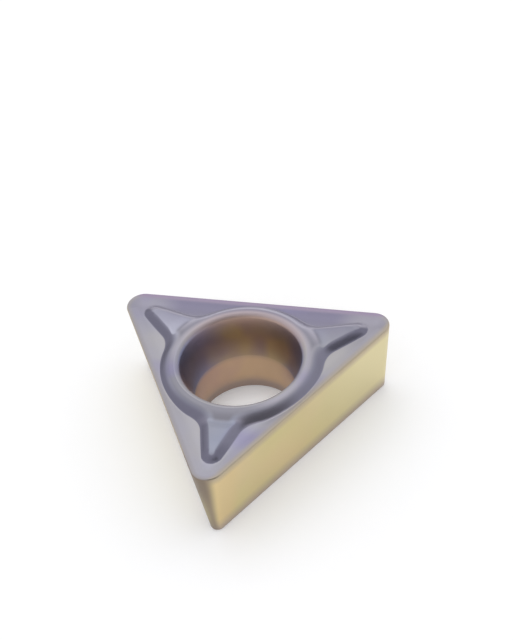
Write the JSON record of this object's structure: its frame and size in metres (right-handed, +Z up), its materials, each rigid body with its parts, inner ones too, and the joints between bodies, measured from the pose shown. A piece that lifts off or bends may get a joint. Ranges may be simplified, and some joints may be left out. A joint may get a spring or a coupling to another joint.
{
  "type": "carbide turning insert",
  "caption": "Triangular indexable turning insert with seven-degree flanks, a pressed chipbreaker about a central screw hole and a flat seat.",
  "frame": {"origin": "on the screw hole's axis, in the flat seat face that the insert stands on", "axes": "+Z up the screw hole's axis, from the seat to the rake face; -Y towards one corner; +X along the side opposite that corner"},
  "size_m": [0.01, 0.0089, 0.0034],
  "materials": {
    "carbide": "satin"
  },
  "bodies": {
    "root": {"insert_body": "carbide"}
  },
  "joints": []
}
